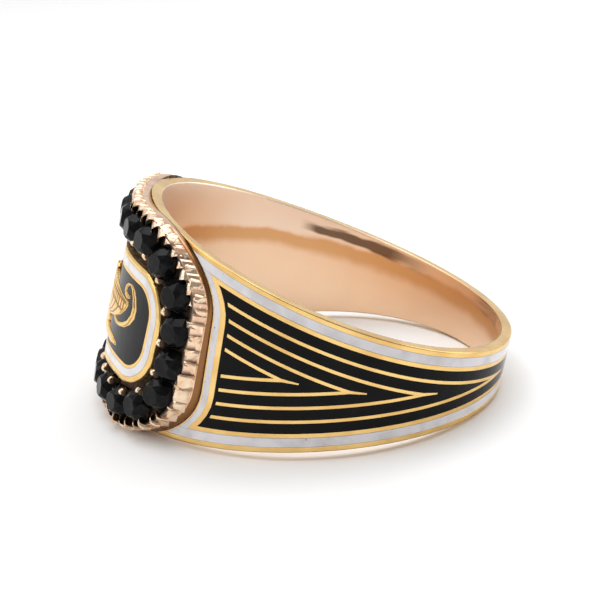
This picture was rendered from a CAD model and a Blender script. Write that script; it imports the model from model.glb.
# %% [markdown]
# # An enamelled mourning ring
# The ring lies on its side, as a ring does when it is put down. The measured solids come first, as a fixed
# frame. What is plain on the real ring keeps its solid and only gets a finish. What is fine or uneven is made
# here: the crimped ribs of the setting, its grains, the cut stones and the engraved urn.

# %% Load the frame
import math
import bmesh
import bpy
import numpy as np
from mathutils import Matrix, Vector


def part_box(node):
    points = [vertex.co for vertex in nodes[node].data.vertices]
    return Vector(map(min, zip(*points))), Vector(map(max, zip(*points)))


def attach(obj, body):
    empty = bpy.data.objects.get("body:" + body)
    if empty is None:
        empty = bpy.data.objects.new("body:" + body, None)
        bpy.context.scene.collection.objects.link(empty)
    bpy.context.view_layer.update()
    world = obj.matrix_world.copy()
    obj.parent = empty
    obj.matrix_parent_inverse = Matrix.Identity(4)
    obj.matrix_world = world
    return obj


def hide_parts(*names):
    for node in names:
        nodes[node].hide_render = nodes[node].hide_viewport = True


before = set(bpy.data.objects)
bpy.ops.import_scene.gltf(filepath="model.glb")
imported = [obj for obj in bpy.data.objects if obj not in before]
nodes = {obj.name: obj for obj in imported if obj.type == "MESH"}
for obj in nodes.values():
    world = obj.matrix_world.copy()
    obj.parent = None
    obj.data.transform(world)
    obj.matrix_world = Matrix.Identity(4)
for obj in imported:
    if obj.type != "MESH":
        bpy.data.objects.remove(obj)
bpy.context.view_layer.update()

MM_PER_METRE = 1000
MICRON = 0.000001


# %% [markdown]
# ## Sizes
# A maker works from a drawing, in millimetres, with the finger axis upright. The same numbers serve here for
# the meshes and for the finishes, because a border or a worn edge follows a size of the ring. Measuring the
# solids instead would give only their boxes.

# %% The ring's sizes in millimetres
# The hoop: its two round walls, and three points of its edge, each a place in Y and half a width.
HOOP_OUT = 9.3
HOOP_IN = 8.8
BACK_HALF = 1.31
EDGE_FRONT = (-8.3, 5.05)
EDGE_SIDE = (0.0, 2.9)
EDGE_BACK = (HOOP_OUT, BACK_HALF)
# Its borders, as distances from that edge.
RIM = 0.24
WHITE_END = 0.7
BLACK_START = 0.89
# The bezel: its gap to the hoop, its outline from the front, the place of its axis and its levels' radii.
SEAT_GAP = 0.02
BEZEL_HALF_W = 7.16
BEZEL_HALF_L = 5.2
BEZEL_CORNER = 3.44
BEZEL_AXIS = 1.15
WALL_TOP = 9.15
STRIP_TOP = 8.8
GIRDLE = 9.0
# The stones, and the path that they follow.
PATH_HALF_W = 6.46
PATH_HALF_L = 4.05
PATH_CORNER = 2.82
STONES = 24
STONE_R = 0.797
# The plaque: its face's radius, and its outline along that face.
PLAQUE_R = 9.36
PLAQUE_HALF = 6.616
PLAQUE_HALF_L = 2.773
PLAQUE_CORNER = 2.13
# The lean of the stones, and that of the plaque.
LEAN = math.radians(2)
PLAQUE_LEAN = math.radians(4)
# A distance longer than any on the ring's borders.
FAR_AWAY = 9.0


def arc_through(p, q, r):
    """Centre of the circle through three points of a plane."""
    ax, ay = q[0] - p[0], q[1] - p[1]
    bx, by = r[0] - p[0], r[1] - p[1]
    d = 2 * (ax * by - ay * bx)
    aa, bb = ax * ax + ay * ay, bx * bx + by * by
    return p[0] + (by * aa - ay * bb) / d, p[1] + (ax * bb - bx * aa) / d


EDGE_CY, EDGE_CZ = arc_through(EDGE_FRONT, EDGE_SIDE, EDGE_BACK)
EDGE_R = math.hypot(EDGE_CY - EDGE_SIDE[0], EDGE_CZ - EDGE_SIDE[1])
print("the hoop's edge is an arc of radius", round(EDGE_R, 1), "mm")

# %% [markdown]
# ## How the ring lies
# It rests on two spots of the bezel's lower side and on the back of the hoop. Turned by eye it would float or
# sink a little, so the turn that brings these spots to the ground is worked out from the sizes, as in the
# solids. The stones and the plaque lean a little more.

# %% From the drawing to the ground
SEAT_STEPS = 12
seat_step = math.radians(90 / SEAT_STEPS)
seat_x = BEZEL_HALF_W - BEZEL_CORNER + BEZEL_CORNER * math.sin(seat_step)
seat_z = BEZEL_HALF_L - BEZEL_CORNER + BEZEL_CORNER * math.cos(seat_step)
seat_y = -math.sqrt((HOOP_OUT + SEAT_GAP) ** 2 - seat_x ** 2)
tilt = math.atan2(seat_z - BACK_HALF, HOOP_OUT - seat_y)
lift = HOOP_OUT * math.sin(tilt) + BACK_HALF * math.cos(tilt)
back_y = HOOP_OUT * math.cos(tilt) + BACK_HALF * math.sin(tilt)
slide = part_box("hoop")[1][1] * MM_PER_METRE - back_y
to_metres = Matrix.Scale(1 / MM_PER_METRE, 4)
RING = to_metres @ Matrix.Translation((0, slide, lift)) @ Matrix.Rotation(-tilt, 4, "X")


def leant(angle):
    """The drawing leant about X at the front of the hoop."""
    from_front = Matrix.Translation((0, -HOOP_OUT, 0))
    to_front = Matrix.Translation((0, HOOP_OUT, 0))
    return RING @ from_front @ Matrix.Rotation(-angle, 4, "X") @ to_front


BED = leant(LEAN)
TRAY = leant(PLAQUE_LEAN)
print("tilt in degrees:", round(math.degrees(tilt), 2))
print("slide and lift in mm:", round(slide, 3), round(lift, 3))

# %% [markdown]
# ## Camera
# The photograph looks almost along the width of the ring, a little from above, from close by. A camera placed
# by eye would show other outlines, so the view was fitted to those of the hoop in the drawing's frame. It is
# then turned with the ring onto the ground.

# %% Camera
# Turn, rise and roll in degrees, distance in millimetres, scale in pixels to a millimetre at that distance,
# and the picture's middle, in pixels across and up from the finger axis.
VIEW_TURN, VIEW_RISE, VIEW_ROLL = (math.radians(a) for a in (82.41, 18.53, 9.97))
VIEW_DISTANCE = 69.2
VIEW_SCALE = 19.92
VIEW_ACROSS = 22.7 / VIEW_SCALE
VIEW_UP = 18.3 / VIEW_SCALE
PICTURE_WIDTH = 600
SENSOR_WIDTH = 36
CLIP_START = 0.002
level = math.cos(VIEW_RISE)
back = Vector((math.sin(VIEW_TURN) * level, -math.cos(VIEW_TURN) * level, math.sin(VIEW_RISE)))
right = Vector((math.cos(VIEW_TURN), math.sin(VIEW_TURN), 0))
up = back.cross(right)
cam_x = math.cos(VIEW_ROLL) * right + math.sin(VIEW_ROLL) * up
cam_y = math.cos(VIEW_ROLL) * up - math.sin(VIEW_ROLL) * right
spot = VIEW_DISTANCE * back - VIEW_ACROSS * cam_x + VIEW_UP * cam_y
turn = RING.to_3x3().normalized()
camera_data = bpy.data.cameras.new("camera")
camera_data.sensor_width = SENSOR_WIDTH
camera_data.lens = SENSOR_WIDTH * VIEW_SCALE * VIEW_DISTANCE / PICTURE_WIDTH
camera_data.clip_start = CLIP_START
camera = bpy.data.objects.new("camera", camera_data)
bpy.context.scene.collection.objects.link(camera)
axes = Matrix((turn @ cam_x, turn @ cam_y, turn @ back)).transposed().to_4x4()
camera.matrix_world = Matrix.Translation(RING @ spot) @ axes
bpy.context.scene.camera = camera
print("camera stands", round((turn @ back).z, 3), "of its distance above the ring")

# %% [markdown]
# ## Floor and light
# A jeweller's photograph has a white sweep and soft light from all sides, and the side of the camera is
# darker. Black enamel shows that dark side, and gold shows the bright ones. Small lamps would give hard spots
# instead, so this is done by large area lamps and a pale sky with one dark side.

# %% Floor and lamps
FLOOR_HALF = 0.6
LAMPS_AIM = (0, 0, 0.004)
# Name, place and size in metres, and power in watts.
LAMPS = (
    ("top_lamp", (-0.03, 0.0, 0.22), 0.2, 0.28),
    ("front_lamp", (0.02, -0.2, 0.1), 0.1, 0.08),
    ("back_lamp", (-0.06, 0.2, 0.12), 0.1, 0.08),
)


def new_object(name, mesh):
    """An object for a mesh, in the scene."""
    thing = bpy.data.objects.new(name, mesh)
    bpy.context.scene.collection.objects.link(thing)
    return thing


floor_corners = [
    (-FLOOR_HALF, -FLOOR_HALF, 0), (FLOOR_HALF, -FLOOR_HALF, 0),
    (FLOOR_HALF, FLOOR_HALF, 0), (-FLOOR_HALF, FLOOR_HALF, 0),
]
floor_mesh = bpy.data.meshes.new("floor")
floor_mesh.from_pydata(floor_corners, [], [(0, 1, 2, 3)])
floor_object = new_object("floor", floor_mesh)


def lamp(name, place, size, power):
    """A square area lamp that points at the ring."""
    data = bpy.data.lights.new(name, "AREA")
    data.shape = "SQUARE"
    data.size = size
    data.energy = power
    thing = bpy.data.objects.new(name, data)
    bpy.context.scene.collection.objects.link(thing)
    thing.location = place
    way = Vector(LAMPS_AIM) - Vector(place)
    thing.rotation_euler = way.to_track_quat("-Z", "Y").to_euler()


for name, place, size, power in LAMPS:
    lamp(name, place, size, power)
print("lamps:", len(LAMPS), "with", round(sum(row[3] for row in LAMPS), 2), "watts in all")

# %% [markdown]
# The sky is a shade of one number: how far a direction turns towards the dark side. A picture of a studio
# would do the same with more detail, but soft reflections don't need it.

# %% Sky
SKY_LIGHT = 0.85
SKY_DARK = 0.3
DARK_SIDE = (1.0, 0.1, 0.15)
DARK_FROM = 0.2
DARK_TO = 0.75
sky = bpy.data.worlds.new("sky")
bpy.context.scene.world = sky
sky.use_nodes = True
sky_tree = sky.node_tree
sky_way = sky_tree.nodes.new("ShaderNodeTexCoord").outputs["Generated"]
facing = sky_tree.nodes.new("ShaderNodeVectorMath")
facing.operation = "DOT_PRODUCT"
facing.inputs[1].default_value = Vector(DARK_SIDE).normalized()
sky_tree.links.new(sky_way, facing.inputs[0])
shade = sky_tree.nodes.new("ShaderNodeMapRange")
shade.interpolation_type = "SMOOTHSTEP"
for socket, value in zip(shade.inputs[1:5], (DARK_FROM, DARK_TO, SKY_LIGHT, SKY_DARK)):
    socket.default_value = value
sky_tree.links.new(facing.outputs["Value"], shade.inputs[0])
sky_tree.links.new(shade.outputs[0], sky_tree.nodes["Background"].inputs["Strength"])
sky_tree.nodes["Background"].inputs["Color"].default_value = (1, 1, 1, 1)
bpy.context.scene.view_settings.view_transform = "Standard"
print("the sky goes from", SKY_LIGHT, "down to", SKY_DARK)

# %% [markdown]
# ## Writing finishes as sums
# A finish here is mostly arithmetic on a place: how far is this spot from the edge, on which side does it
# face? Nodes can do that, but forty Math nodes are hard to read. The small class below lets a socket take
# part in Python sums, and each operator adds its node.

# %% Sockets that can be added and multiplied
class Wire:
    """One output of a node. Arithmetic on it adds Math nodes."""

    def __init__(self, paint, socket):
        self.paint = paint
        self.socket = socket

    def math(self, operation, *rest):
        return self.paint.node("ShaderNodeMath", {"operation": operation}, self, *rest)

    def __add__(self, other):
        return self.math("ADD", other)

    __radd__ = __add__

    def __sub__(self, other):
        return self.math("SUBTRACT", other)

    def __rsub__(self, other):
        return self.paint.node("ShaderNodeMath", {"operation": "SUBTRACT"}, other, self)

    def __mul__(self, other):
        return self.math("MULTIPLY", other)

    __rmul__ = __mul__

    def __truediv__(self, other):
        return self.math("DIVIDE", other)

    def __gt__(self, other):
        return self.math("GREATER_THAN", other)

    def __lt__(self, other):
        return self.math("LESS_THAN", other)

    def __abs__(self):
        return self.math("ABSOLUTE")

    def root(self):
        return self.math("SQRT")

    def sign(self):
        return self.math("SIGN")

    def at_least(self, other):
        return self.math("MAXIMUM", other)

    def at_most(self, other):
        return self.math("MINIMUM", other)

    def ramp(self, low, high):
        """0 at low, 1 at high, smooth between. low may be the larger one."""
        if low > high:
            return 1 - self.ramp(high, low)
        smooth = {"interpolation_type": "SMOOTHSTEP"}
        return self.paint.node("ShaderNodeMapRange", smooth, self, low, high, 0.0, 1.0)


# %% [markdown]
# A material could be put together node by node and link by link. The next class does both in one call, which
# takes a node's type, its settings and the values or wires of its sockets, so each finish reads as a recipe.

# %% A material under construction
# A Mix node's sockets for colours: the factor and both colours. Its result is the output after those.
MIX_SOCKETS = (0, 6, 7)
MIX_RESULT = 2


class Paint:
    """A material under construction."""

    def __init__(self, name):
        self.material = bpy.data.materials.new(name)
        self.material.use_nodes = True
        self.tree = self.material.node_tree
        self.tree.nodes.clear()
        self.place = self.node("ShaderNodeTexCoord").output("Object")

    def node(self, kind, settings=None, *values, **named):
        """Adds a node. Its settings come first, then its sockets' values or wires, in order or by name."""
        made = self.tree.nodes.new(kind)
        for key, value in (settings or {}).items():
            setattr(made, key, value)
        sockets = list(zip(made.inputs, values))
        sockets += [(made.inputs[key.replace("_", " ")], value) for key, value in named.items()]
        for socket, value in sockets:
            if isinstance(value, Wire):
                self.tree.links.new(value.socket, socket)
            elif value is not None:
                socket.default_value = value
        wire = Wire(self, made.outputs[0] if made.outputs else None)
        wire.output = lambda name: Wire(self, made.outputs[name])
        wire.input = lambda name: made.inputs[name]
        return wire

    def colour(self, mask, a, b):
        """Colour a where mask is 0, colour b where it is 1."""
        made = self.tree.nodes.new("ShaderNodeMix")
        made.data_type = "RGBA"
        for index, value in zip(MIX_SOCKETS, (mask, a, b)):
            if isinstance(value, Wire):
                self.tree.links.new(value.socket, made.inputs[index])
            else:
                made.inputs[index].default_value = (*value, 1) if isinstance(value, tuple) else value
        return Wire(self, made.outputs[MIX_RESULT])

    def split(self, vector):
        made = self.node("ShaderNodeSeparateXYZ", None, vector)
        return made.output("X"), made.output("Y"), made.output("Z")

    def join(self, x, y, z):
        return self.node("ShaderNodeCombineXYZ", None, x, y, z)

    def angle_of(self, y, x):
        return self.node("ShaderNodeMath", {"operation": "ARCTAN2"}, y, x)

    def noise(self, place, scale, detail=2.0, roughness=0.5):
        return self.node("ShaderNodeTexNoise", None, Vector=place, Scale=scale, Detail=detail,
                         Roughness=roughness)

    def bump(self, height, distance, strength=1.0, normal=None):
        return self.node("ShaderNodeBump", None, Strength=strength, Distance=distance, Height=height,
                         Normal=normal)

    def finish(self, colour, roughness, normal=None, metallic=0.0, specular=0.5):
        surface = self.node("ShaderNodeBsdfPrincipled", None, Base_Color=colour, Roughness=roughness,
                            Metallic=metallic, Normal=normal)
        surface.input("Specular IOR Level").default_value = specular
        self.node("ShaderNodeOutputMaterial", None, surface)
        return self.material


def give(thing, material):
    """Puts one finish on a piece, in all its slots."""
    thing.data.materials.clear()
    thing.data.materials.append(material)
    print(thing.name, "is finished in", material.name, "of", len(material.node_tree.nodes), "nodes")


# %% [markdown]
# ## Places and directions on the ring
# A finish needs to know where it is on the drawing. A Mapping node turns the ground's metres back into the
# drawing's millimetres. The solids are made of flat triangles, so the direction of a round wall is worked
# out from its axis too, and a sharp edge is given the small rounding that wear has left there. A Bevel node
# could round it as well, but it is slow, and uneven on long thin triangles.

# %% Coordinates of the drawing inside a finish
def drawing_place(paint, frame_matrix):
    """Object coordinates turned back into the drawing's millimetres."""
    back_again = frame_matrix.inverted()
    turned = back_again.to_3x3().normalized().to_euler()
    to_mm = (MM_PER_METRE, MM_PER_METRE, MM_PER_METRE)
    point = {"vector_type": "POINT"}
    return paint.node("ShaderNodeMapping", point, paint.place, back_again.translation, turned, to_mm)


def turned_about_x(paint, vector, angle):
    return paint.node("ShaderNodeVectorRotate", {"rotation_type": "X_AXIS"}, Vector=vector, Angle=angle)


def face_direction(paint, angle):
    """The flat direction of the face, in the drawing."""
    flat = paint.node("ShaderNodeNewGeometry").output("True Normal")
    return paint.split(turned_about_x(paint, flat, angle))


def to_ground(paint, x, y, z, angle):
    """A direction of the drawing, of length 1, back on the ground."""
    unit = paint.node("ShaderNodeVectorMath", {"operation": "NORMALIZE"}, paint.join(x, y, z))
    return turned_about_x(paint, unit, -angle)


def half_width(y):
    """Half width of the hoop at y, for a wire or a number."""
    under_root = EDGE_R ** 2 - (y - EDGE_CY) * (y - EDGE_CY)
    return EDGE_CZ - (under_root.root() if isinstance(y, Wire) else math.sqrt(under_root))


print("edge half width at the back:", round(half_width(HOOP_OUT), 3), "mm")

# %% [markdown]
# The hoop has round walls and flat rims. Each gets its own smooth direction, bent over near its edge.

# %% The surface of the hoop
# A face belongs to a wall when it looks this much away from the axis, and a worn edge bends this much.
WALL_FACING = 0.8
ROUNDING = 0.9


def hoop_surface(paint, lip):
    """On the hoop: x, y, z, distance from the edge, how much it faces outwards, and the smooth direction."""
    x, y, z = paint.split(drawing_place(paint, RING))
    nx, ny, nz = face_direction(paint, tilt)
    radius = (x * x + y * y).root()
    outwards = (nx * x + ny * y) / radius
    on_wall = abs(outwards) > WALL_FACING
    not_wall = 1 - on_wall
    edge = half_width(y) - abs(z)
    wall_bend = edge.ramp(lip, 0.0) * z.sign() * ROUNDING
    middle = (HOOP_OUT + HOOP_IN) / 2
    rim_edge = (HOOP_OUT - HOOP_IN) / 2 - abs(radius - middle)
    rim_bend = rim_edge.ramp(lip, 0.0) * (radius - middle).sign() * ROUNDING
    side = outwards.sign()
    rim_x = nx + x / radius * rim_bend
    rim_y = ny + y / radius * rim_bend
    smooth_x = x / radius * side * on_wall + rim_x * not_wall
    smooth_y = y / radius * side * on_wall + rim_y * not_wall
    smooth_z = wall_bend * on_wall + nz * not_wall
    return x, y, z, edge, outwards, to_ground(paint, smooth_x, smooth_y, smooth_z, tilt)


print("a worn edge turns by up to", round(math.degrees(math.atan(ROUNDING))), "degrees")

# %% [markdown]
# ## Gold of the hoop
# Old gold is bright where it rubs and dull in the seams. The outside is yellow, and the inside is rosier.
# Fine scratches run round the finger, because that is how a ring is turned. A picture could be laid on, but
# noise in the drawing's own coordinates has no seam and follows the ring.

# %% Colours of the golds, and scratches
YELLOW = (0.88, 0.60, 0.23)
YELLOW_DEEP = (0.74, 0.46, 0.16)
PEACH = (0.94, 0.71, 0.51)
PEACH_DEEP = (0.83, 0.55, 0.35)
AMBER = (0.72, 0.42, 0.20)
PALE = (0.96, 0.83, 0.70)
TARNISH = (0.15, 0.085, 0.05)
ROSE = (0.90, 0.64, 0.46)
ROSE_DEEP = (0.70, 0.42, 0.27)
CREAM = (0.96, 0.75, 0.55)
CREAM_DEEP = (0.80, 0.52, 0.32)
BROWN = (0.27, 0.125, 0.05)
DIRT = (0.07, 0.04, 0.025)
# A cloudy noise goes from the first colour of a gold to its deep one between these values.
CLOUD = (0.35, 0.75)
POLISHED = 0.2
SCRATCH_ROUND = 1.2
SCRATCH_ACROSS = 14.0


def scratches(paint, x, y, z):
    """Faint lines round the hoop."""
    angle = paint.angle_of(x, -1.0 * y)
    stretched = paint.join(angle * SCRATCH_ROUND, z * SCRATCH_ACROSS, 0.0)
    return paint.noise(stretched, scale=3.0, detail=4.0, roughness=0.6)


print("scratches are", round(SCRATCH_ACROSS / SCRATCH_ROUND * HOOP_OUT), "times as long as they are wide")

# %% [markdown]
# Inside, the finger has polished the gold unevenly. A band of amber runs round, with paler gold above it, and
# tarnish has left two dark streaks. Each mark is a distance from a line, and noise makes its edge ragged.

# %% Gold of the hoop
WORN_LIP = 0.07
INWARDS = -0.5
HOOP_CLOUD = (0.35, 0.7)
DULLED = (0.4, 0.75)
# The inside deepens from the front to the back, and with the cloud.
DEEPENS = (-8.0, 9.0)
DEEPER_BACK = 0.3
DEEPER_CLOUD = 0.35
# The band: its height at the axis, its fall towards the back, its raggedness, and its lower and upper edge.
BAND_HEIGHT = 1.2
BAND_FALL = 0.085
BAND_RAGGED = 0.7
BAND_FOOT = (-0.75, -0.1)
BAND_HEAD = (0.6, 0.25)
DRIFT_SIZE = 0.6
PALE_ABOVE = (0.3, 0.7)
PALE_UNTIL = (7.5, 2.0)
PALE_SHARE = 0.85
# The streaks: a height, the turn round the finger where that holds, a fall, and where each one fades.
SMEAR_HEIGHT = 2.14
SMEAR_TURN = 1.6
SMEAR_FALL = 1.15
SMEAR_RAGGED = 0.7
SMEAR_EDGE = (0.15, 0.01)
SMEAR_START = (1.46, 1.62)
SMEAR_END = (2.45, 1.95)
SMEAR_DARK = 1.1
SMEAR_MOST = 0.92
STREAK_HEIGHT = 1.1
STREAK_RAGGED = 1.2
STREAK_EDGE = (0.2, 0.05)
STREAK_START = (2.72, 2.9)
STREAK_DARK = 0.6
SCRATCHED = (0.42, 0.6)
RAGGED_ROUND = 2.2

gold = Paint("gold_of_the_hoop")
x, y, z, edge, outwards, normal = hoop_surface(gold, WORN_LIP)
place = gold.join(x, y, z)
cloud = gold.noise(place, scale=0.55, detail=3.0)
lines = scratches(gold, x, y, z)
inside = outwards < INWARDS
to_back = y.ramp(*DEEPENS) * DEEPER_BACK
rosy = gold.colour((to_back + cloud * DEEPER_CLOUD).at_most(1.0), PEACH, PEACH_DEEP)
drift = gold.noise(gold.join(x * DRIFT_SIZE, y * DRIFT_SIZE, z * DRIFT_SIZE), scale=0.8, detail=3.0) - 0.5
from_band = z - (BAND_HEIGHT - BAND_FALL * y) - drift * BAND_RAGGED
amber = from_band.ramp(*BAND_FOOT) * from_band.ramp(*BAND_HEAD)
above_band = from_band.ramp(*PALE_ABOVE) * y.ramp(*PALE_UNTIL)
rosy = gold.colour(amber, rosy, AMBER)
rosy = gold.colour(above_band * PALE_SHARE, rosy, PALE)
turned = gold.angle_of(-1.0 * x, -1.0 * y)
ragged = gold.noise(gold.join(turned * RAGGED_ROUND, 0.0, z), scale=1.6) - 0.5
from_smear = z - SMEAR_HEIGHT + (turned - SMEAR_TURN) * SMEAR_FALL + ragged * SMEAR_RAGGED
smear = (from_smear * from_smear).ramp(*SMEAR_EDGE) * turned.ramp(*SMEAR_START) * turned.ramp(*SMEAR_END)
from_streak = z - STREAK_HEIGHT + ragged * STREAK_RAGGED
streak = (from_streak * from_streak).ramp(*STREAK_EDGE) * turned.ramp(*STREAK_START)
streak = streak * lines.ramp(*SCRATCHED) * STREAK_DARK
rosy = gold.colour((smear * SMEAR_DARK).at_most(SMEAR_MOST) + streak, rosy, TARNISH)
colour = gold.colour(cloud.ramp(*HOOP_CLOUD), YELLOW, YELLOW_DEEP)
colour = gold.colour(inside, colour, rosy)
rough = POLISHED + 0.1 * lines.ramp(*DULLED) + 0.1 * inside
relief = lines * 0.4 + gold.noise(place, scale=9.0, detail=3.0) * 0.6
normal = gold.bump(relief, 3 * MICRON, 0.5, normal)
give(nodes["hoop"], gold.finish(colour, rough, normal, metallic=1.0))

# %% [markdown]
# ## Enamel of the hoop
# Enamel is glass, fused in cells and ground flush. The white one has pits and dark specks, and the black one
# is deep and even. Both are a little wavy, and each dips where it meets the gold. One recipe serves all four
# enamels, because only their colours, specks and borders differ.

# %% White and black enamel
WHITE = (0.79, 0.765, 0.79)
WHITE_SHADE = (0.63, 0.60, 0.61)
BLACK = (0.006, 0.0055, 0.006)
BLACK_SHADE = (0.008, 0.008, 0.008)
SPECK_CHOICE = 0.72
FLUSH_LIP = 0.01
# How far dirt and the dip reach from a seam, and how strong they and the pits are.
SEAM_DIRT = 0.03
SEAM_DIP = 0.05
SEAM_SOIL = 0.55
DIP_DEPTH = 0.3
PIT_DEPTH = 0.35


def specks(paint, place, scale, size):
    """1 in small round spots, 0 elsewhere."""
    dots = paint.node("ShaderNodeTexVoronoi", {"feature": "F1"}, Vector=place, Scale=scale)
    pick = paint.node("ShaderNodeSeparateColor", None, dots.output("Color"))
    return dots.output("Distance").ramp(size, size * 0.5) * (pick > SPECK_CHOICE)


def enamel(name, colours, surface, speck_size, seams, specular=0.5):
    """A glassy finish for one enamel. seams gives the distance from its nearer border."""
    paint = Paint(name)
    place, edge, normal = surface(paint)
    border = seams(edge)
    cloud = paint.noise(place, scale=0.9, detail=3.0)
    spots = specks(paint, place, 2.6, speck_size)
    colour = paint.colour(cloud.ramp(0.4, 0.75), *colours)
    colour = paint.colour(spots, colour, DIRT)
    colour = paint.colour(border.ramp(SEAM_DIRT, 0.0) * SEAM_SOIL, colour, DIRT)
    waves = paint.noise(place, scale=1.6)
    relief = waves - spots * PIT_DEPTH - border.ramp(SEAM_DIP, 0.0) * DIP_DEPTH
    normal = paint.bump(relief, 30 * MICRON, 0.35, normal)
    rough = 0.07 + 0.12 * cloud.ramp(0.45, 0.8) + 0.4 * spots
    return paint.finish(colour, rough, normal, specular=specular)


def hoop_enamel_surface(paint):
    x, y, z, edge, outwards, normal = hoop_surface(paint, FLUSH_LIP)
    return paint.join(x, y, z), edge, normal


def white_seams(edge):
    """The white also runs beside the bezel, far from the hoop's edge, where it has no such seam."""
    return (edge - RIM).at_most(WHITE_END - edge + (edge > WHITE_END) * FAR_AWAY)


def black_seams(edge):
    return edge - BLACK_START


hoop_white = enamel("white_enamel", (WHITE, WHITE_SHADE), hoop_enamel_surface, 0.10, white_seams)
hoop_black = enamel("black_enamel", (BLACK, BLACK_SHADE), hoop_enamel_surface, 0.0, black_seams, 0.08)
give(nodes["hoop_white_enamel"], hoop_white)
give(nodes["hoop_black_enamel"], hoop_black)

# %% [markdown]
# ## The setting's walls
# The setting is one soldered piece: a rounded strip above the seam, a thin wall that was crimped over the
# stones, and a floor under them. Its rounded strip could be a mesh of its own. It is shown by turning the
# direction of the wall, as a moulding would, because it is too thin to show in the outline.

# %% Distance from a rounded outline
def rounded_outline(paint, x, z, half_w, half_l, corner):
    """Distance outside a rounded rectangle, and its outward direction in plan."""
    qx = (abs(x) - (half_w - corner)).at_least(0.0)
    qz = (abs(z) - (half_l - corner)).at_least(0.0)
    length = (qx * qx + qz * qz).root().at_least(0.0001)
    return length - corner, qx / length * x.sign(), qz / length * z.sign()


# %% [markdown]
# Dirt lies where no cloth reaches: in the bed of the stones, in the seam on the hoop and in the flutes. Each
# place is told by its height between the seam and the strip's top and by its distance from the outline.

# %% Rose gold of the setting
BED_DIRT = (0.018, 0.011, 0.008)
# Distances outside the bezel's outline: the strip's face, the flutes' reach inwards, the start of the bed,
# and where a groove between two flutes turns dark.
STRIP_FACE = -0.04
FLUTES_REACH = -0.12
BED_START = -0.1
GROOVE = (-0.03, -0.07)
STRIP_BULGE = 1.7
UPRIGHT_FACE = 0.5
# The soil's share in the bed and in a flute, its height above the seam, and where the strip turns brown.
BED_SOIL = 0.96
GROOVE_SOIL = 0.8
SEAM_HEIGHT = 0.16
BROWNS = (3.5, 6.5)

rose = Paint("rose_gold_of_the_setting")
x, y, z = rose.split(drawing_place(rose, RING))
nx, ny, nz = face_direction(rose, tilt)
outside, ox, oz = rounded_outline(rose, x, z, BEZEL_HALF_W, BEZEL_HALF_L, BEZEL_CORNER)
seam_y = -1.0 * ((HOOP_OUT + SEAT_GAP) ** 2 - x * x).root()
strip_y = z * math.sin(LEAN) - BEZEL_AXIS - (STRIP_TOP ** 2 - x * x).root()
height = (y - seam_y) / (strip_y - seam_y)
on_strip = (height > 0.0) * (height < 1.0) * (outside > STRIP_FACE) * (abs(ny) < UPRIGHT_FACE)
still = 1 - on_strip
bend = (0.5 - height) * STRIP_BULGE
smooth_x = ox * on_strip + nx * still
smooth_y = bend * on_strip + ny * still
smooth_z = oz * on_strip + nz * still
normal = to_ground(rose, smooth_x, smooth_y, smooth_z, tilt)
place = rose.join(x, y, z)
cloud = rose.noise(place, scale=1.3, detail=3.0)
grime = rose.noise(place, scale=5.0, detail=4.0)
bed = (outside < BED_START) * BED_SOIL
seam = height.ramp(SEAM_HEIGHT, 0.0) * (outside > BED_START)
groove = outside.ramp(*GROOVE) * (height > 1.0) * (outside > FLUTES_REACH)
soil = (bed + seam * grime.ramp(0.25, 0.5) + groove * GROOVE_SOIL).at_most(1.0)
browned = ((x.ramp(*BROWNS) * 0.95 + grime * 0.25) * on_strip).at_most(1.0)
colour = rose.colour(cloud.ramp(*CLOUD), ROSE, ROSE_DEEP)
colour = rose.colour(browned, colour, BROWN)
colour = rose.colour(soil, colour, rose.colour(grime.ramp(0.35, 0.6), BED_DIRT, DIRT))
rough = POLISHED + 0.12 * cloud + 0.5 * soil
normal = rose.bump(grime, 10 * MICRON, 0.5, normal)
give(nodes["setting"], rose.finish(colour, rough, normal, metallic=1.0 - 0.95 * soil, specular=0.2))

# %% [markdown]
# ## The plaque
# The plaque is a shallow tray of gold with its own white border and black field, bent to the curve of the
# bezel. Its rim is soft from wear, and dirt has gathered below it. The solid has sharp edges, and a bevel on
# its many small faces would tear, so the rim's softness is a turned direction too.

# %% The surface of the plaque
# Distances of its borders from the outline, as on the hoop.
PLAQUE_RIM = 0.26
PLAQUE_WHITE_END = 0.66
PLAQUE_BLACK_START = 0.81


def plaque_surface(paint, lip):
    """On the plaque: its place, the distance inside its outline, the radius, and the smooth direction."""
    angle = tilt + PLAQUE_LEAN
    x, y, z = paint.split(drawing_place(paint, TRAY))
    nx, ny, nz = face_direction(paint, angle)
    dy = y + BEZEL_AXIS
    radius = (x * x + dy * dy).root()
    along = paint.angle_of(x, -1.0 * dy) * PLAQUE_R
    outside, ox, oz = rounded_outline(paint, along, z, PLAQUE_HALF, PLAQUE_HALF_L, PLAQUE_CORNER)
    face = (nx * x + ny * dy) / radius > WALL_FACING
    still = 1 - face
    edge = -1.0 * outside
    bend = edge.ramp(lip, 0.0) * ROUNDING
    ux, uy = x / radius, dy / radius
    fall = (PLAQUE_R - radius).ramp(lip, 0.0) * ROUNDING
    smooth_x = (ux - uy * ox * bend) * face + (nx + ux * fall) * still
    smooth_y = (uy + ux * ox * bend) * face + (ny + uy * fall) * still
    smooth_z = oz * bend * face + nz * still
    return paint.join(x, y, z), edge, radius, to_ground(paint, smooth_x, smooth_y, smooth_z, angle)


def plaque_enamel_surface(paint):
    place, edge, radius, normal = plaque_surface(paint, FLUSH_LIP)
    return place, edge, normal


def plaque_white_seams(edge):
    return (edge - PLAQUE_RIM).at_most(PLAQUE_WHITE_END - edge)


def plaque_black_seams(edge):
    return edge - PLAQUE_BLACK_START


print("white border of the plaque:", round(PLAQUE_WHITE_END - PLAQUE_RIM, 2), "mm wide")

# %% [markdown]
# The tray's gold is that of the hoop, with dirt on its lower walls. The field is a shade lighter than the
# hoop's, as in the photograph, and a little glossier.

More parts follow.
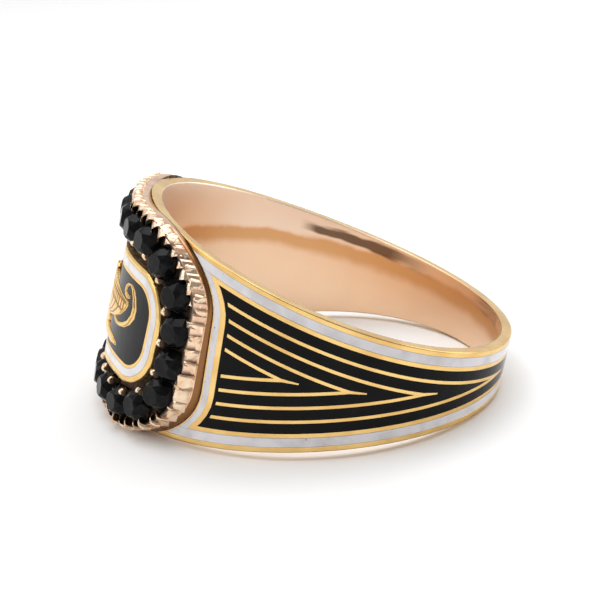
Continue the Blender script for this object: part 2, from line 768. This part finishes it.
# %% Finishes of the plaque
SOFT_LIP = 0.13
SOIL_STARTS = 0.05
SOIL_FULL = 0.3
PLAQUE_BLACK_SHADE = (0.012, 0.011, 0.012)

tray = Paint("gold_of_the_plaque")
place, edge, radius, normal = plaque_surface(tray, SOFT_LIP)
cloud = tray.noise(place, scale=1.1, detail=3.0)
grime = tray.noise(place, scale=4.0, detail=4.0, roughness=0.7)
low = radius.ramp(PLAQUE_R - SOIL_STARTS, PLAQUE_R - SOIL_FULL)
soil = (low * grime.ramp(0.3, 0.55)).at_most(0.95)
colour = tray.colour(cloud.ramp(*CLOUD), YELLOW, YELLOW_DEEP)
colour = tray.colour(soil, colour, DIRT)
normal = tray.bump(grime, 12 * MICRON, 0.5, normal)
rough = POLISHED + 0.1 * cloud + 0.5 * soil
give(nodes["plaque"], tray.finish(colour, rough, normal, metallic=1.0 - 0.8 * soil))

plaque_white = enamel("white_enamel_of_the_plaque", (WHITE, WHITE_SHADE), plaque_enamel_surface, 0.08,
                      plaque_white_seams)
plaque_black = enamel("black_enamel_of_the_plaque", (BLACK, PLAQUE_BLACK_SHADE), plaque_enamel_surface, 0.0,
                      plaque_black_seams, 0.18)
give(nodes["plaque_white_enamel"], plaque_white)
give(nodes["plaque_black_enamel"], plaque_black)

# %% [markdown]
# ## A path round the bezel
# Ribs, grains and stones all follow the rounded oblong of the bezel. They could be placed one by one, but a
# change of the outline would then move none of them. So a closed line is drawn in plan, and Geometry Nodes
# lift it onto the curve of the bezel, space the pieces evenly along it and stand each one up.

# %% A closed line in plan
def outline_mesh(name, half_w, half_l, corner, count=720):
    """A rounded rectangle in X and Z that starts in the middle of the +X side."""
    straight_l = half_l - corner
    straight_w = half_w - corner
    bow = math.pi / 2 * corner
    quarter = straight_l + bow + straight_w
    points = []
    for i in range(count):
        lap = 4 * i / count
        part = int(lap)
        share = lap - part
        u = (share if part % 2 == 0 else 1 - share) * quarter
        if u < straight_l:
            px, pz = half_w, u
        elif u < straight_l + bow:
            a = (u - straight_l) / corner
            px, pz = straight_w + corner * math.cos(a), straight_l + corner * math.sin(a)
        else:
            px, pz = quarter - u, half_l
        points.append(((-px if part in (1, 2) else px), 0.0, (-pz if part >= 2 else pz)))
    mesh = bpy.data.meshes.new(name)
    mesh.from_pydata(points, [(i, (i + 1) % count) for i in range(count)], [])
    return mesh


stone_path = outline_mesh("stone_path", PATH_HALF_W, PATH_HALF_L, PATH_CORNER)
print("path round the stones:", len(stone_path.vertices), "points")

# %% [markdown]
# A node tree can be drawn by hand in the editor. Built in a script, it stays with the file, and each size in
# it has a name. The class below does for such a tree what the other one does for a material.

# %% A Geometry Nodes tree under construction
class Tree:
    """A Geometry Nodes tree under construction, with named inputs."""

    def __init__(self, name):
        self.tree = bpy.data.node_groups.new(name, "GeometryNodeTree")
        for way in ("INPUT", "OUTPUT"):
            self.tree.interface.new_socket("Geometry", in_out=way, socket_type="NodeSocketGeometry")
        self.inputs = self.tree.nodes.new("NodeGroupInput")
        self.outputs = self.tree.nodes.new("NodeGroupOutput")

    def size(self, name, kind="Float"):
        """A named input. Returns its socket."""
        self.tree.interface.new_socket(name, in_out="INPUT", socket_type="NodeSocket" + kind)
        return self.inputs.outputs[name]

    def node(self, kind, settings=None, **values):
        """Adds a node, returns its first output. A value is named as its socket, or i and its number."""
        made = self.tree.nodes.new(kind)
        for key, value in (settings or {}).items():
            setattr(made, key, value)
        for name, value in values.items():
            numbered = name[0] == "i" and name[1:].isdigit()
            socket = made.inputs[int(name[1:]) if numbered else name.replace("_", " ")]
            if isinstance(value, bpy.types.NodeSocket):
                self.tree.links.new(value, socket)
            else:
                socket.default_value = value
        return made.outputs[0]

    def sum(self, operation, a, b=0.0):
        return self.node("ShaderNodeMath", {"operation": operation}, i0=a, i1=b)

    def vector(self, x, y, z):
        return self.node("ShaderNodeCombineXYZ", None, X=x, Y=y, Z=z)

    def vector_sum(self, operation, a, b):
        return self.node("ShaderNodeVectorMath", {"operation": operation}, i0=a, i1=b)

    def random_vector(self, low, high, seed):
        """A vector between low and high, another one for each piece."""
        kind = {"data_type": "FLOAT_VECTOR"}
        return self.node("FunctionNodeRandomValue", kind, i0=low, i1=high, Seed=seed)


# %% [markdown]
# Each piece stands on the path, turned to follow it. Hand work is never even, so every piece is also tipped,
# turned and stretched a little by random values with a fixed seed, and noise dents the whole row.

# %% The tree that sets pieces along the path
SECOND_SEED = 7.0
SMALLER_SHARE = 1.5
DENT_SCALE = 2.6


def above_axis(t, radius, px):
    """Height of a curve of that radius above the bezel's axis, at px."""
    return t.sum("SQRT", t.sum("SUBTRACT", t.sum("MULTIPLY", radius, radius), t.sum("MULTIPLY", px, px)))


def standing_turn(t, place, upright):
    """The turn that stands a piece up and lines its X with the path, or across it for an upright piece."""
    along = t.node("GeometryNodeInputTangent")
    if upright:
        axis, up_way = "Y", (0, -1, 0)
        side = t.vector_sum("CROSS_PRODUCT", (0, 1, 0), along)
    else:
        axis, side = "Z", along
        up_way = t.vector_sum("ADD", t.vector_sum("MULTIPLY", place, (1, 1, 0)), (0, BEZEL_AXIS, 0))
    first = t.node("FunctionNodeAlignRotationToVector", {"axis": axis}, Vector=up_way)
    second = {"axis": "X", "pivot_axis": axis}
    return t.node("FunctionNodeAlignRotationToVector", second, Rotation=first, Vector=side)


def path_tree(name, upright):
    """Pieces along a path on the bezel. They stand straight up if upright, or else square to the curve."""
    t = Tree(name)
    piece = t.size("Piece", "Object")
    count = t.size("Count", "Int")
    radius = t.size("Curve radius")
    skip = t.size("Start", "Int")
    wobble = t.size("Wobble")
    turn_wobble = t.size("Turn")
    top = t.size("Top radius")
    ragged = t.size("Ragged")
    seed = t.size("Seed", "Int")
    finish = t.size("Finish", "Material")

    place = t.node("GeometryNodeInputPosition")
    px = t.node("ShaderNodeSeparateXYZ", None, Vector=place)
    pz = px.node.outputs["Z"]
    rise = above_axis(t, radius, px)
    lifted = t.vector(px, t.sum("SUBTRACT", -BEZEL_AXIS, rise), pz)
    line = t.node("GeometryNodeMeshToCurve", None, Mesh=t.inputs.outputs["Geometry"])
    line = t.node("GeometryNodeSetPosition", None, Geometry=line, Position=lifted)
    points = t.node("GeometryNodeResampleCurve", None, Curve=line, Count=t.sum("MULTIPLY", count, 2.0))
    index = t.node("GeometryNodeInputIndex")
    every_other = t.sum("MODULO", t.sum("ADD", index, skip), 2.0)

    back_wobble = t.sum("MULTIPLY", wobble, -1.0)
    tip_low = t.vector(back_wobble, back_wobble, t.sum("MULTIPLY", turn_wobble, -1.0))
    tip_high = t.vector(wobble, wobble, turn_wobble)
    tip = t.node("FunctionNodeEulerToRotation", None, Euler=t.random_vector(tip_low, tip_high, seed))
    standing = t.node("FunctionNodeRotateRotation", {"rotation_space": "LOCAL"},
                      Rotation=standing_turn(t, place, upright), Rotate_By=tip)

    small = t.sum("SUBTRACT", 1.0, t.sum("MULTIPLY", wobble, SMALLER_SHARE))
    large = t.sum("ADD", 1.0, wobble)
    other_seed = t.sum("ADD", seed, SECOND_SEED)
    stretch = t.random_vector(t.vector(small, small, small), t.vector(large, large, large), other_seed)
    if upright:
        tall = t.sum("SUBTRACT", above_axis(t, top, px), rise)
        stretch = t.vector_sum("MULTIPLY", stretch, t.vector(1.0, tall, 1.0))

    thing = t.node("GeometryNodeObjectInfo", None, Object=piece).node.outputs["Geometry"]
    row = t.node("GeometryNodeInstanceOnPoints", None, Points=points, Selection=every_other, Instance=thing,
                 Rotation=standing, Scale=stretch)
    solid = t.node("GeometryNodeRealizeInstances", None, Geometry=row)
    noise = t.node("ShaderNodeTexNoise", None, Scale=DENT_SCALE, Detail=1.0, Vector=place)
    dents = t.vector_sum("SUBTRACT", noise.node.outputs["Color"], (0.5, 0.5, 0.5))
    dents = t.node("ShaderNodeVectorMath", {"operation": "SCALE"}, i0=dents, Scale=ragged)
    solid = t.node("GeometryNodeSetPosition", None, Geometry=solid, Offset=dents)
    painted = t.node("GeometryNodeSetMaterial", None, Geometry=solid, Material=finish)
    t.tree.links.new(painted, t.outputs.inputs[0])
    print(name + ":", len(t.tree.nodes), "nodes")
    return t.tree


# %% [markdown]
# The tree runs as a modifier on the path. Its result is then taken as a plain mesh and put in its place, so
# that nothing live is left on the finished piece.

# %% Running a tree
def run_tree(name, mesh, tree, matrix, sizes):
    """Runs a tree on a mesh and returns the result as a plain piece, placed by matrix."""
    host = new_object(name + "_path", mesh)
    modifier = host.modifiers.new("nodes", "NODES")
    modifier.node_group = tree
    for item in tree.interface.items_tree:
        if item.item_type == "SOCKET" and item.in_out == "INPUT" and item.name in sizes:
            modifier[item.identifier] = sizes[item.name]
    graph = bpy.context.evaluated_depsgraph_get()
    made = bpy.data.meshes.new_from_object(host.evaluated_get(graph), depsgraph=graph)
    made.name = name
    made.transform(matrix)
    made.update()
    host.modifiers.remove(modifier)
    bpy.data.objects.remove(host)
    print(name + ":", len(made.polygons), "faces")
    return new_object(name, made)


# %% [markdown]
# ## Cut stones
# The stones are old cuts: a small table, tall facets round it and a flat back. A cut could be carved from a
# cone with flat planes. Here a few rings of corners are drawn and wrapped in a hull, which gives flat facets
# by itself. Each edge gets a narrow bevel, because a polished edge catches the light.

# %% One cut stone
STONE_SIDES = 8
CORNER_SHARE = 0.985
BACK_SHARE = 0.78
POLISHED_EDGE = 0.014


def cut_stone():
    """A faceted stone at the origin, table up, in millimetres."""
    corner = CORNER_SHARE * STONE_R / math.cos(math.pi / STONE_SIDES)
    # Radius, height, and turn in steps, of the table, the middle, both edges of the girdle, and the back.
    rings = (
        (0.47, 0.66, 0.5),
        (0.70, 0.376, 0.0),
        (corner, 0.03, 0.5),
        (corner, -0.03, 0.5),
        (corner * BACK_SHARE, -0.15, 0.5),
    )
    bm = bmesh.new()
    for r, h, phase in rings:
        for i in range(STONE_SIDES):
            a = 2 * math.pi * (i + phase) / STONE_SIDES
            bm.verts.new((r * math.cos(a), r * math.sin(a), h))
    bmesh.ops.convex_hull(bm, input=bm.verts)
    bmesh.ops.dissolve_limit(bm, angle_limit=math.radians(1), verts=bm.verts, edges=bm.edges)
    bmesh.ops.bevel(bm, geom=bm.edges[:], offset=POLISHED_EDGE, segments=1, affect="EDGES",
                    clamp_overlap=True)
    bmesh.ops.recalc_face_normals(bm, faces=bm.faces)
    mesh = bpy.data.meshes.new("cut_stone")
    bm.to_mesh(mesh)
    bm.free()
    return mesh


stone_mould = new_object("stone_mould", cut_stone())
print("one stone:", len(stone_mould.data.polygons), "faces with its bevels")

# %% [markdown]
# Black glass is nearly all reflection. A faint cloud in its roughness and a little dust keep twenty-four
# equal stones from looking new. The tree sets the stone at every other point of the path, turned and tipped.

# %% Black glass, and the row of stones
GLASS = (0.004, 0.004, 0.0045)
GLASS_SHADE = (0.012, 0.011, 0.011)
DUST = (0.16, 0.14, 0.12)

glass = Paint("black_cut_glass")
place = drawing_place(glass, BED)
cloud = glass.noise(place, scale=2.2, detail=3.0)
fine = glass.noise(place, scale=14.0, detail=3.0)
dust = specks(glass, place, 5.0, 0.10)
colour = glass.colour(cloud.ramp(0.4, 0.7), GLASS, GLASS_SHADE)
colour = glass.colour(dust * 0.5, colour, DUST)
rough = 0.06 + 0.14 * cloud.ramp(0.45, 0.8) + 0.3 * dust
stone_glass = glass.finish(colour, rough, glass.bump(fine, 4 * MICRON, 0.4), specular=0.12)
stones = run_tree("stones", stone_path, path_tree("Set along the bezel", False), BED, {
    "Piece": stone_mould, "Count": STONES, "Start": 0, "Curve radius": GIRDLE,
    "Wobble": 0.03, "Turn": 0.12, "Seed": 5, "Finish": stone_glass,
})
bpy.data.objects.remove(stone_mould)

# %% [markdown]
# ## Grains
# Between each two stones a small ball of gold was pushed over from the floor. A plain ball would look cast,
# so one lumpy ball is made, and the tree sets it at each joint with a random size and turn.

# %% Gold that a tool has pressed
bright = Paint("bright_rose_gold")
place = drawing_place(bright, RING)
cloud = bright.noise(place, scale=2.5, detail=3.0)
fine = bright.noise(place, scale=11.0, detail=4.0, roughness=0.7)
soil = fine.ramp(0.6, 0.78) * 0.4
colour = bright.colour(cloud.ramp(*CLOUD), CREAM, CREAM_DEEP)
colour = bright.colour(soil, colour, DIRT)
rough = POLISHED + 0.12 * cloud + 0.4 * soil
normal = bright.bump(fine, 20 * MICRON, 0.7)
pressed_gold = bright.finish(colour, rough, normal, metallic=1.0 - 0.7 * soil)
print(pressed_gold.name, "has", len(pressed_gold.node_tree.nodes), "nodes")

# %% [markdown]
# The lumps are three waves multiplied, one along each axis, so the ball stays closed and smooth.

# %% Grains
GRAIN_R = 0.21
GRAIN_LUMPS = 0.14
GRAIN_RISE = 0.22
GRAIN_INSET = 0.54
# The inset is less across the finger and at the corners.
INSET_SHARE_W = 0.69
INSET_SHARE_CORNER = 0.8
# Waves to a millimetre, and where each starts, along X, Y and Z.
LUMP_WAVES = ((17, 1), (15, 2), (13, 0))


def lumpy_ball(radius, lumps):
    """A ball that a tool has pressed."""
    bm = bmesh.new()
    bmesh.ops.create_icosphere(bm, subdivisions=3, radius=radius)
    for v in bm.verts:
        swell = math.prod(math.sin(c * often + start) for c, (often, start) in zip(v.co, LUMP_WAVES))
        v.co *= 1 + lumps * swell
    for f in bm.faces:
        f.smooth = True
    mesh = bpy.data.meshes.new("ball")
    bm.to_mesh(mesh)
    bm.free()
    return mesh


grain_half_w = PATH_HALF_W - GRAIN_INSET * INSET_SHARE_W
grain_corner = PATH_CORNER - GRAIN_INSET * INSET_SHARE_CORNER
grain_path = outline_mesh("grain_path", grain_half_w, PATH_HALF_L - GRAIN_INSET, grain_corner)
ball = new_object("ball_mould", lumpy_ball(GRAIN_R, GRAIN_LUMPS))
grains = run_tree("grains", grain_path, path_tree("Grains along the bezel", False), BED, {
    "Piece": ball, "Count": STONES, "Start": 1, "Curve radius": GIRDLE + GRAIN_RISE,
    "Wobble": 0.12, "Turn": 1.5, "Seed": 11, "Finish": pressed_gold,
})
bpy.data.objects.remove(ball)

# %% [markdown]
# ## Crimped ribs
# The thin wall was crimped with a tool all round, so it stands in pleats, each one bent over the stones at
# its top. A wavy wall in one piece would look machined. Here one pleat is a strip that is thick on one side
# and thin on the other, swept up a bent spine. The tree sets it along the wall with a little shake, and each
# pleat's thin side slips under the next one's thick side.

# %% One rib
RIBS = 72
RIB_HALF = 0.34


def rib():
    """A crimped pleat, with its height on the wall as 1: Y runs up the wall, X outwards, Z along the wall."""
    # Place outwards, height and width of each row, from the foot over the bend to the tip.
    spine = (
        (-0.07, -0.10, 0.9), (-0.01, 0.02, 1.0), (0.01, 0.3, 1.03), (0.0, 0.65, 1.03), (-0.04, 0.98, 1.03),
        (-0.12, 1.18, 1.03), (-0.24, 1.26, 1.0), (-0.38, 1.2, 0.92), (-0.48, 1.06, 0.7),
    )
    # Thickness outwards and place along the wall of each point round a row.
    profile = (
        (-0.05, -1.0), (0.05, -0.97), (0.09, -0.78), (0.055, -0.58), (0.05, -0.1), (0.02, 0.5), (-0.02, 1.0),
        (-0.08, 0.95), (-0.09, 0.0),
    )
    bm = bmesh.new()
    rows = []
    for out, rise, width in spine:
        row = [(out + thick * width, rise, RIB_HALF * width * along) for thick, along in profile]
        rows.append([bm.verts.new(point) for point in row])
    around = len(profile)
    for low_row, high_row in zip(rows, rows[1:]):
        for i in range(around):
            j = (i + 1) % around
            bm.faces.new((low_row[i], low_row[j], high_row[j], high_row[i]))
    bm.faces.new(rows[0])
    bm.faces.new(rows[-1])
    bmesh.ops.recalc_face_normals(bm, faces=bm.faces)
    mesh = bpy.data.meshes.new("rib")
    bm.to_mesh(mesh)
    bm.free()
    return mesh


rib_mould = new_object("rib_mould", rib())
print("one rib:", len(rib_mould.data.polygons), "faces")

# %% [markdown]
# The wall is taller at the sides of the bezel than in its middle, so the tree stretches each pleat from the
# strip's curve up to that of the wall's top.

# %% Ribs of the wall
RIB_INSET = 0.05
RIB_PATH_POINTS = 1440
rib_path = outline_mesh("rib_path", BEZEL_HALF_W - RIB_INSET, BEZEL_HALF_L - RIB_INSET,
                        BEZEL_CORNER - RIB_INSET, RIB_PATH_POINTS)
ribs = run_tree("crimped_ribs", rib_path, path_tree("Ribs along the wall", True), BED, {
    "Piece": rib_mould, "Count": RIBS, "Start": 1, "Curve radius": STRIP_TOP, "Top radius": WALL_TOP,
    "Wobble": 0.11, "Turn": 0.13, "Ragged": 0.15, "Seed": 3, "Finish": pressed_gold,
})
bpy.data.objects.remove(rib_mould)

# %% [markdown]
# ## The engraved urn
# The urn is gold left standing in the black field, rounded over by the engraver. Bump alone would leave it
# flat from the side, so it is a real relief. Its outline is a short table, and the distance of each spot from
# that outline gives the rounding.

# %% Outline of the urn, and distances from it
# Half the urn, as shares of its half width and half height. A handle's points also have half a width.
URN_W = 3.484
URN_L = 1.707
URN_BODY = (
    (0, 0.9), (0.06, 0.86), (0.08, 0.78), (0.04, 0.7), (0.16, 0.68), (0.32, 0.64), (0.56, 0.57), (0.82, 0.49),
    (1.04, 0.46), (1.06, 0.37), (1.01, 0.2), (0.87, -0.06), (0.71, -0.24), (0.5, -0.37), (0.38, -0.44),
    (0.34, -0.53), (0.4, -0.58), (0.4, -0.64), (0.34, -0.69), (0.46, -0.76), (0.7, -0.79), (0.88, -0.86),
    (0.92, -0.94), (0.76, -1), (0, -1),
)
URN_HANDLE = (
    (1.04, 0.66, 0.012), (1.06, 0.6, 0.012), (1.01, 0.55, 0.012), (0.95, 0.59, 0.012), (0.91, 0.7, 0.012),
    (0.92, 0.83, 0.012), (0.98, 0.93, 0.012), (1.06, 0.96, 0.012), (1.15, 0.88, 0.013), (1.22, 0.7, 0.015),
    (1.27, 0.46, 0.018), (1.26, 0.2, 0.021), (1.18, -0.04, 0.025), (1.06, -0.21, 0.028), (0.92, -0.31, 0.026),
    (0.81, -0.34, 0.022), (0.73, -0.31, 0.017), (0.67, -0.25, 0.013), (0.64, -0.18, 0.012),
)


def inside_distance(px, pz, outline):
    """Distance of each place from a closed outline, above 0 inside it."""
    best = np.full(px.shape, FAR_AWAY)
    within = np.zeros(px.shape, bool)
    for (ax, az), (bx, bz) in zip(outline, outline[1:] + outline[:1]):
        dx, dz = bx - ax, bz - az
        share = np.clip(((px - ax) * dx + (pz - az) * dz) / (dx * dx + dz * dz), 0, 1)
        best = np.minimum(best, np.hypot(px - ax - share * dx, pz - az - share * dz))
        if dz:
            crosses = (az > pz) != (bz > pz)
            within ^= crosses & (px < ax + (pz - az) * dx / dz)
    return np.where(within, best, -best)


def line_distance(px, pz, line):
    """The same for a line of changing half width."""
    best = np.full(px.shape, -FAR_AWAY)
    for (ax, az, aw), (bx, bz, bw) in zip(line, line[1:]):
        dx, dz = bx - ax, bz - az
        share = np.clip(((px - ax) * dx + (pz - az) * dz) / (dx * dx + dz * dz), 0, 1)
        away = np.hypot(px - ax - share * dx, pz - az - share * dz)
        best = np.maximum(best, aw + share * (bw - aw) - away)
    return best


body_line = [(a * URN_W, b * URN_L) for a, b in URN_BODY]
whole_body = [(-a, b) for a, b in reversed(body_line[1:-1])] + body_line
handle_line = [(a * URN_W, b * URN_L, c * URN_W) for a, b, c in URN_HANDLE]
print("the urn is", round(2 * max(row[0] for row in handle_line), 2), "mm over its handles")

# %% [markdown]
# The engraver's cuts follow the bowl: a row of lobes, upright hatching under its rim, and three lines round
# it. They could be drawn one by one, but waves along the width and the height give them all.

# %% Heights of the relief
STEP = 0.024
GRID_RIGHT = 4.5
GRID_LOW = -1.8
GRID_HIGH = 1.75
BASE_HEIGHT = 0.03
LEAST_HEIGHT = 0.026
RISE = 0.035
ROUND_OVER = 0.1
CUT_DEPTH = 0.045
CUT_MARGIN = 0.06
LOBES = 5
HATCH_PITCH = 0.36
BOWL_LOW = -0.4
BOWL_HIGH = 0.37
HATCH_LOW = 0.13
# Half width of the bowl at some heights, both as shares of the urn's.
WAIST_AT = (-0.4, -0.24, -0.06, 0.2, 0.37)
WAIST = (0.45, 0.71, 0.87, 1.01, 1.06)
# Height, width and fall to the side of each line round the bowl and the lid.
ROUND_LINES = ((0.11, 0.024, 0.0), (0.39, 0.03, 0.0), (0.56, 0.024, 0.035))

columns = np.arange(0, GRID_RIGHT, STEP)
rows_up = np.arange(GRID_LOW, GRID_HIGH, STEP)
gx, gz = np.meshgrid(columns, rows_up)
share_z = gz / URN_L
body_in = inside_distance(gx, gz, whole_body)
deep = np.maximum(body_in, line_distance(gx, gz, handle_line))
shoulder = np.clip(deep / ROUND_OVER, 0, 1)
rounded = np.sqrt(shoulder * (2 - shoulder))
bowl = (body_in > 0.05) & (share_z < BOWL_HIGH) & (share_z > BOWL_LOW)
lobes = np.abs(np.sin(gx / (np.interp(share_z, WAIST_AT, WAIST) * URN_W) * math.pi * LOBES))
hatching = 0.5 + 0.5 * np.sin(gx * 2 * math.pi / HATCH_PITCH)
carved = np.where(bowl, np.where(share_z > HATCH_LOW, hatching ** 2, (1 - lobes) ** 1.5), 0.0)
for at, width, fall in ROUND_LINES:
    carved = carved + np.exp(-((share_z - at + gx * fall) / width) ** 2) * (body_in > 0.03)
carved = np.clip(carved, 0, 1)
high = BASE_HEIGHT + RISE * rounded - CUT_DEPTH * carved * np.clip(deep / CUT_MARGIN, 0, 1)
high = np.maximum(high, LEAST_HEIGHT)
print("engraved share of the urn:", round(float((carved > 0.5).mean() / (deep > 0).mean()), 2))

# %% [markdown]
# The heights become a closed shell: a top, a flat back inside the field, and walls round the outline. One
# half is worked out, and the other one is its mirror image.

# %% The urn's mesh
OUTLINE_MARGIN = 0.01
SHELL_BACK = -0.05


def relief_mesh(name, keep, heights, cuts, floor_height):
    """A closed shell over the kept cells, bent round the plaque, with its mirror image beyond X = 0."""
    cells = keep[:-1, :-1] & keep[1:, :-1] & keep[:-1, 1:] & keep[1:, 1:]
    corner = {}
    points = []
    depth = []
    faces = []

    def vertex(row, column, side, level):
        key = (row, column * side, level)
        if key not in corner:
            corner[key] = len(points)
            turned = side * columns[column] / PLAQUE_R
            r = PLAQUE_R + (heights[row, column] if level else floor_height)
            points.append((r * math.sin(turned), -BEZEL_AXIS - r * math.cos(turned), rows_up[row]))
            depth.append(float(cuts[row, column]) if level else 0.0)
        return corner[key]

    filled = {(int(i), int(j)) for i, j in zip(*np.nonzero(cells))}
    for i, j in filled:
        around = ((i, j), (i, j + 1), (i + 1, j + 1), (i + 1, j))
        beyond = ((i - 1, j), (i, j + 1), (i + 1, j), (i, j - 1))
        for side in (1, -1):
            loop = around if side == 1 else around[::-1]
            faces.append([vertex(a, b, side, 1) for a, b in loop])
            faces.append([vertex(a, b, side, 0) for a, b in reversed(loop)])
            for k in range(4):
                if beyond[k] in filled or beyond[k][1] < 0:
                    continue
                (a, b), (c, d) = around[k], around[(k + 1) % 4]
                wall = [vertex(c, d, side, 1), vertex(a, b, side, 1)]
                wall += [vertex(a, b, side, 0), vertex(c, d, side, 0)]
                faces.append(wall if side == 1 else wall[::-1])
    mesh = bpy.data.meshes.new(name)
    mesh.from_pydata(points, [], faces)
    mesh.attributes.new("cut", "FLOAT", "POINT").data.foreach_set("value", depth)
    mesh.polygons.foreach_set("use_smooth", [True] * len(mesh.polygons))
    mesh.transform(TRAY)
    mesh.update()
    return mesh


urn_mesh = relief_mesh("engraved_urn", deep > -OUTLINE_MARGIN, high, carved, SHELL_BACK)
urn = new_object("engraved_urn", urn_mesh)
print("urn:", len(urn.data.polygons), "faces")

# %% [markdown]
# The cuts are dark at their bottom, where old polish stays. The mesh carries each point's cut as an
# attribute, so the brown lies exactly in the cuts.

# %% Gold of the urn
CUT_DARKENS = (0.25, 0.75)
CUT_DARK = 0.9

leaf = Paint("engraved_gold")
place = drawing_place(leaf, TRAY)
cloud = leaf.noise(place, scale=2.0, detail=3.0)
fine = leaf.noise(place, scale=12.0, detail=3.0)
cut_deep = leaf.node("ShaderNodeAttribute", {"attribute_name": "cut"}).output("Fac")
colour = leaf.colour(cloud.ramp(*CLOUD), YELLOW, YELLOW_DEEP)
colour = leaf.colour(cut_deep.ramp(*CUT_DARKENS) * CUT_DARK, colour, BROWN)
normal = leaf.bump(fine, 6 * MICRON, 0.5)
rough = 0.22 + 0.1 * cloud + 0.2 * cut_deep
give(urn, leaf.finish(colour, rough, normal, metallic=1.0))

# %% [markdown]
# ## The pieces ride on the ring
# The ring has no joint, so every piece belongs to its one body. The stones made here stand for the solids.
# The floor is part of the studio, so it gets a finish but no body.

# %% Ride and replace
FLOOR_PALE = (0.93, 0.93, 0.93, 1.0)
for piece in (stones, grains, ribs, urn):
    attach(piece, "root")
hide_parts(*[f"stone_{k:02d}" for k in range(1, STONES + 1)])
give(floor_object, Paint("pale_floor").finish(FLOOR_PALE, 0.9, specular=0.1))
